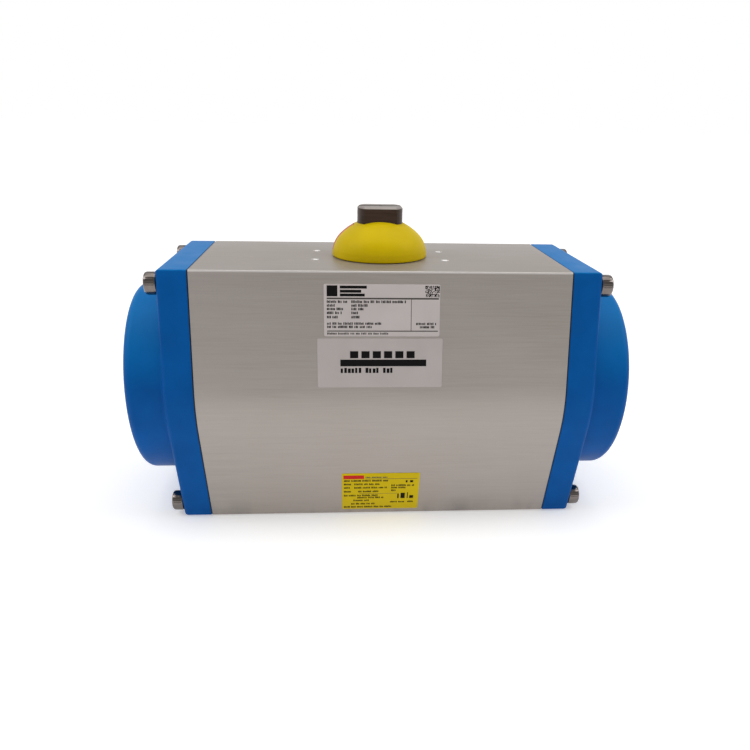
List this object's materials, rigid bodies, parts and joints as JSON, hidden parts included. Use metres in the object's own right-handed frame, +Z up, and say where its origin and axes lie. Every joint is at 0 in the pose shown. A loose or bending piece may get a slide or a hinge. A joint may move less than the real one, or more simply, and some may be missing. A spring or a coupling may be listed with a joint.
{
  "type": "rotary pneumatic actuator",
  "caption": "Spring-return rack-and-pinion pneumatic actuator with an extruded aluminium body, blue end caps and a yellow position indicator on a quarter-turn shaft.",
  "frame": {"origin": "centre of the bottom valve-mounting face, on the drive axis", "axes": "+Z up the drive shaft, X along the cylinder, -Y the front with the labels, +Y the rear with the air ports"},
  "size_m": [0.305, 0.1463, 0.19],
  "materials": {
    "housing": "hard anodised extrusion with fine lengthwise lines",
    "cap": "die-cast aluminium with semi-gloss blue polyester paint",
    "gasket": "black sheet gasket",
    "screw": "stainless steel",
    "bearing_plastic": "acetal bearing plastic",
    "seal": "nitrile rubber",
    "spring_steel": "phosphated spring steel",
    "pinion_steel": "nickel-plated alloy steel, dark brown-grey sides",
    "cam_iron": "machined alloy steel",
    "piston": "die-cast aluminium",
    "spring_paint": "epoxy-coated spring steel",
    "seat_plastic": "glass-filled nylon",
    "indicator_yellow": "satin moulded plastic",
    "indicator_red": "satin moulded plastic",
    "label_white": "printed film label",
    "label_silver": "printed satin film label",
    "label_yellow": "printed yellow film label"
  },
  "bodies": {
    "housing": {"body_housing": "housing", "end_cap_left": "cap", "end_cap_right": "cap", "end_cap_gasket_left": "gasket", "end_cap_gasket_right": "gasket", "cap_screws_left": "screw", "cap_screws_right": "screw", "lower_bearing_bush": "bearing_plastic", "upper_bearing_bush": "bearing_plastic", "top_thrust_ring": "bearing_plastic", "stop_screws": "screw", "stop_nuts": "screw", "stop_seals": "seal", "springs_left": "spring_paint", "springs_right": "spring_paint", "spring_seats_left": "seat_plastic", "spring_seats_right": "seat_plastic", "spec_label": "label_white", "maker_label": "label_silver", "model_label": "label_yellow"},
    "drive_shaft": {"pinion": "pinion_steel", "stop_cam": "cam_iron", "inner_thrust_washer": "bearing_plastic", "snap_ring": "spring_steel", "lower_shaft_seal": "seal", "upper_shaft_seal": "seal", "indicator_cover": "indicator_yellow", "indicator_red_insert": "indicator_red"},
    "right_piston": {"piston_right": "piston", "piston_guide_ring_right": "bearing_plastic", "piston_seal_right": "seal", "rack_pad_right": "bearing_plastic"},
    "left_piston": {"piston_left": "piston", "piston_guide_ring_left": "bearing_plastic", "piston_seal_left": "seal", "rack_pad_left": "bearing_plastic"}
  },
  "joints": [
    {"name": "shaft_turn", "type": "hinge", "parent": "housing", "child": "drive_shaft", "pos_m": [0, 0, 0.08], "axis": [0, 0, 1], "range_deg": [0, 90], "stiffness_Nm_per_rad": 15, "springref_deg": -57.3},
    {"name": "right_piston_slide", "type": "slide", "parent": "housing", "child": "right_piston", "axis": [1, 0, 0], "range_m": [0, 0.03142], "deforming": ["springs_right"]},
    {"name": "left_piston_slide", "type": "slide", "parent": "housing", "child": "left_piston", "axis": [-1, 0, 0], "range_m": [0, 0.03142], "deforming": ["springs_left"]}
  ],
  "couplings": [
    {"joint": "right_piston_slide", "follows": "shaft_turn", "m_per_rad": 0.02},
    {"joint": "left_piston_slide", "follows": "shaft_turn", "m_per_rad": 0.02}
  ]
}
